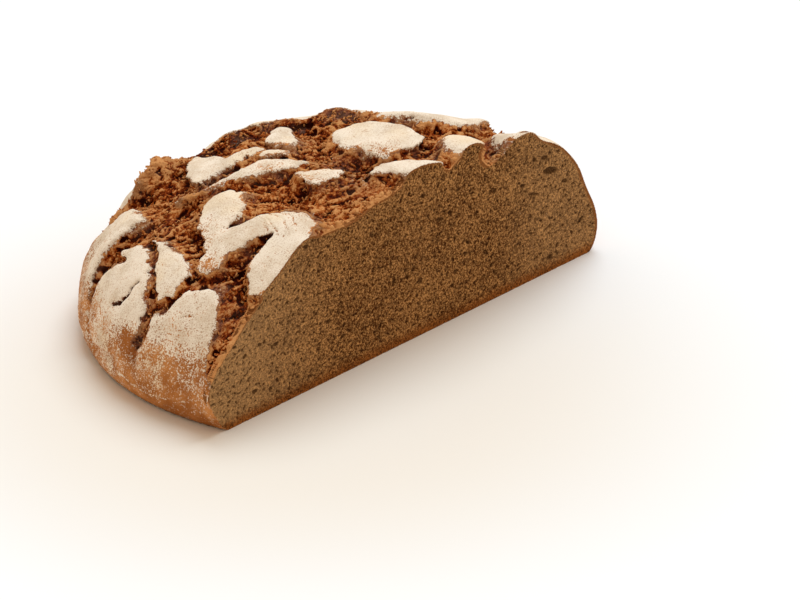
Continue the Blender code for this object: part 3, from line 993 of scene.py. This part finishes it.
def makePiece(bm, name, material, sharp=60):
    bmesh.ops.triangulate(bm, faces=[f for f in bm.faces if len(f.verts) > 4])
    mesh = bpy.data.meshes.new(name)
    bm.to_mesh(mesh)
    bm.free()
    mesh.shade_smooth()
    mesh.set_sharp_from_angle(angle=math.radians(sharp))
    finishPiece(addObject(name, mesh), material)


# where the crust is divided, and how far behind the knife its pieces are closed
pieceCuts = {
    "crust": ["crustNearEnd", "crustNearCrown", "crustFarCrown", "crustFarEnd"],
    "x": [-0.068, -0.004, 0.060],
    "baseHeight": 0.0012,
    "capDepth": 0.0045,
    "capInset": 0.006,
    "faceDepth": 0.0035,
    "faceInset": 0.004,
    "capCentre": Vector((0, 0, 0.035)),
}


def closeBehind(bm, depth, inset):
    # closes the open edge with a cap that stands a little way behind the knife's plane
    rim = [e for e in bm.edges if e.is_boundary]
    grown = bmesh.ops.extrude_edge_only(bm, edges=rim)["geom"]
    middle = pieceCuts["capCentre"]
    for v in (g for g in grown if isinstance(g, bmesh.types.BMVert)):
        v.co.x += (middle.x - v.co.x) * inset
        v.co.z += (middle.z - v.co.z) * inset
        v.co.y = cutPlane + depth
    edges = [g for g in grown if isinstance(g, bmesh.types.BMEdge) and g.is_boundary]
    made = bmesh.ops.holes_fill(bm, edges=edges)["faces"]
    bmesh.ops.triangulate(bm, faces=made)
    bmesh.ops.recalc_face_normals(bm, faces=bm.faces)


def makePieces(mesh):
    bm = bmesh.new()
    bm.from_mesh(mesh)
    layer = bm.verts.layers.float["onFace"]
    faceSide = [f for f in bm.faces if all(v[layer] > 0.5 for v in f.verts)]
    cutOut = bmesh.ops.split(bm, geom=faceSide)["geom"]
    cutFaces = [g for g in cutOut if isinstance(g, bmesh.types.BMFace)]
    faceBm = bm.copy()
    bm.faces.index_update()
    keep = {f.index for f in cutFaces}
    others = [f for f in faceBm.faces if f.index not in keep]
    bmesh.ops.delete(faceBm, geom=others, context="FACES")
    bmesh.ops.delete(bm, geom=cutFaces, context="FACES")
    closeBehind(faceBm, pieceCuts["faceDepth"], pieceCuts["faceInset"])
    makePiece(faceBm, "cutFace", faceMaterial)
    closeBehind(bm, pieceCuts["capDepth"], pieceCuts["capInset"])
    whole = bpy.data.meshes.new("crustWhole")
    bm.to_mesh(whole)
    fillCut(bm, (0, 0, pieceCuts["baseHeight"]), (0, 0, 1))
    bottom = [f for f in bm.faces if all(v.co.z < 1e-5 for v in f.verts)]
    bmesh.ops.dissolve_faces(bm, faces=bottom)
    makePiece(bm, "baseCrust", baseMaterial)
    upper = bmesh.new()
    upper.from_mesh(whole)
    fillCut(upper, (0, 0, pieceCuts["baseHeight"]), (0, 0, -1))
    upper.to_mesh(whole)
    upper.free()
    edges = [-1.0] + pieceCuts["x"] + [1.0]
    for name, left, right in zip(pieceCuts["crust"], edges, edges[1:]):
        part = bmesh.new()
        part.from_mesh(whole)
        if left > -1:
            fillCut(part, (left, 0, 0), (-1, 0, 0))
        if right < 1:
            fillCut(part, (right, 0, 0), (1, 0, 0))
        makePiece(part, name, crustMaterial)


makePieces(halfMesh)

# small torn bits standing on the tears, and loose ones left along the cut by the knife; sizes in metres.
# level is the range of each bit's hollow mask, mostly below zero, so the crust material paints the bits
# lighter as crests, a painted highlight
tornBits = {
    "count": 3200, "small": 0.00030, "big": 0.0009, "long": 2.8, "subdivisions": 1,
    "sunk": 0.25, "rough": 0.28, "level": (-0.55, 0.25), "fromCut": (0.0022, 1.0), "lowest": 0.006,
}
cutBits = {
    "count": 110, "small": 0.0004, "big": 0.0014, "long": 1.7, "subdivisions": 2,
    "sunk": 0.2, "rough": 0.26, "level": (-1.5, -0.1), "fromCut": (0.0006, 0.0045), "lowest": 0.02,
    "stretches": [(-0.045, 0.030), (-0.108, 0.010), (0.050, 0.020)],  # middle and half length along the cut
}
bitShape = {
    "sizePower": 2.2, "flattest": 0.6, "mostRough": 1.5, "rise": 0.6, "pastCut": 0.0004, "clear": 0.0002,
}


def readLayer(mesh, name):
    return readEach(mesh.attributes[name].data, "value", 1)[:, 0]


def scatterBits(mesh, name, setup, chosen, material):
    bm = bmesh.new()
    bmesh.ops.create_icosphere(bm, subdivisions=setup["subdivisions"], radius=1)
    ball = np.array([v.co[:] for v in bm.verts])
    faces = np.array([[v.index for v in f.verts] for f in bm.faces])
    bm.free()
    points, normals, low = meshPoints(mesh), meshNormals(mesh), readLayer(mesh, "low")
    picks = rng.choice(chosen, setup["count"])
    count = len(picks)
    shape = bitShape
    size = setup["small"] + (setup["big"] - setup["small"]) * rng.random(count) ** shape["sizePower"]
    long = 1 + (setup["long"] - 1) * rng.random(count)
    flat = shape["flattest"] + (1 - shape["flattest"]) * rng.random(count)
    stretch = np.column_stack([long, np.ones(count), flat])
    turn = np.linalg.qr(rng.normal(size=(count, 3, 3)))[0]
    turn[np.linalg.det(turn) < 0, :, 0] *= -1
    lumps = rng.normal(size=(count, len(ball), 1)).clip(-shape["mostRough"], shape["mostRough"])
    body = ball[None] * (1 + setup["rough"] * lumps)
    body = body * stretch[:, None] * size[:, None, None]
    body = np.einsum("nij,nkj->nki", turn, body)
    body += (points[picks] + normals[picks] * (size * (shape["rise"] - setup["sunk"]))[:, None])[:, None]
    body[..., 1] = np.maximum(body[..., 1], cutPlane - shape["pastCut"])
    body[..., 2] = np.maximum(body[..., 2], shape["clear"])
    bits = bpy.data.meshes.new(name)
    corners = (faces[None] + (np.arange(count) * len(ball))[:, None, None]).reshape(-1, 3)
    bits.from_pydata(body.reshape(-1, 3).tolist(), [], corners.tolist())
    bits.shade_smooth()
    none = np.zeros(count)
    masks = {
        # the bits take the torn place's low mask, for its painted shade, and a random hollow mask for their
        # painted highlight
        "hollow": rng.uniform(*setup["level"], count), "low": low[picks], "into": none + 3.0,
        "valley": none, "worn": none, "flour": none,
    }
    for label, values in masks.items():
        storeMask(bits, label, np.repeat(values, len(ball)))
    finishPiece(addObject(name, bits), material)


def placeBits(mesh):
    points = meshPoints(mesh)
    inTear = (readLayer(mesh, "into") > 0.9) & (readLayer(mesh, "onFace") < 0.5)
    away, along = points[:, 1] - cutPlane, points[:, 0] - axisPlace[0]

    def chosen(setup):
        nearest, furthest = setup["fromCut"]
        return inTear & (away > nearest) & (away < furthest) & (points[:, 2] > setup["lowest"])

    scatterBits(mesh, "tornBits", tornBits, np.nonzero(chosen(tornBits))[0], crustMaterial)
    nearCut = chosen(cutBits)
    nearCut &= np.any([np.abs(along - middle) < half for middle, half in cutBits["stretches"]], axis=0)
    scatterBits(mesh, "cutBits", cutBits, np.nonzero(nearCut)[0], crustMaterial)


placeBits(halfMesh)

# floor, light and camera
stageSettings = {
    "floorSize": 6.0,
    "floorColour": colour(0.925, 0.920, 0.915),
    "floorLight": colour(0.94, 0.935, 0.93),
    "nearColour": colour(0.835, 0.750, 0.640),
    "nearCentre": (-0.08, -0.08, 0.0),
    "nearReach": (0.08, 0.27),
    "nearShare": 0.85,
    "worldColour": (1.0, 0.865, 0.705, 1.0),
    "worldStrength": 0.66,
    "keyFrom": (0.85, 0.35, 1.8),
    "keyWidth": 46.0,  # degrees
    "keyStrength": 2.05,
    "keyColour": (0.805, 0.960, 1.125),
    "target": (-0.03756, -0.05203, 0.04071),  # from the loaf's axis
    "heading": 49.165,
    "elevation": 24.90,
    "distance": 3.3654,
    "lens": 326.1,
    "sensor": 36,
}


def makeStage():
    setup = stageSettings
    bm = bmesh.new()
    bmesh.ops.create_grid(bm, x_segments=1, y_segments=1, size=setup["floorSize"])
    mesh = bpy.data.meshes.new("floor")
    bm.to_mesh(mesh)
    bm.free()
    floor = addObject("floor", mesh)
    material, tree, shader, place = newMaterial("paleFloor")
    faint = noiseNode(tree, place, 3.0, 2.0)
    tone = mixColour(tree, mapRange(tree, faint, 0.2, 0.8), setup["floorColour"], setup["floorLight"])
    # the floor is painted with a warm shadow beside the bread, a painted shade that fades out further away
    beside = addNode(tree, "VectorMath", {0: place, 1: setup["nearCentre"]}, operation="SUBTRACT")
    away = addNode(tree, "VectorMath", {0: beside.outputs[0]}, operation="LENGTH").outputs["Value"]
    near = mapRange(tree, away, *setup["nearReach"], setup["nearShare"], 0.0)
    tone = mixColour(tree, near, tone, setup["nearColour"])
    setInputs(tree, shader, {"Base Color": tone, "Roughness": 0.9})
    mesh.materials.append(material)
    world = bpy.data.worlds.new("softRoom")
    bpy.context.scene.world = world
    world.use_nodes = True
    setInputs(world.node_tree, world.node_tree.nodes["Background"], {
        "Color": setup["worldColour"], "Strength": setup["worldStrength"]})
    key = bpy.data.lights.new("keyLight", "SUN")
    key.energy, key.color = setup["keyStrength"], setup["keyColour"]
    key.angle = math.radians(setup["keyWidth"])
    lamp = addObject("keyLight", key)
    lamp.rotation_euler = (-Vector(setup["keyFrom"])).to_track_quat("-Z", "Y").to_euler()
    bpy.context.scene.view_settings.view_transform = "Standard"


def makeCamera():
    setup = stageSettings
    heading, rise = math.radians(setup["heading"]), math.radians(setup["elevation"])
    ahead = Vector((math.sin(heading) * math.cos(rise), math.cos(heading) * math.cos(rise), -math.sin(rise)))
    data = bpy.data.cameras.new("camera")
    data.lens, data.sensor_width = setup["lens"], setup["sensor"]
    data.clip_start, data.clip_end = 0.05, 50
    camera = addObject("camera", data)
    camera.location = Vector(axisPlace) + Vector(setup["target"]) - ahead * setup["distance"]
    camera.rotation_euler = ahead.to_track_quat("-Z", "Y").to_euler()
    bpy.context.scene.camera = camera


makeStage()
makeCamera()
bpy.data.meshes.remove(halfMesh)
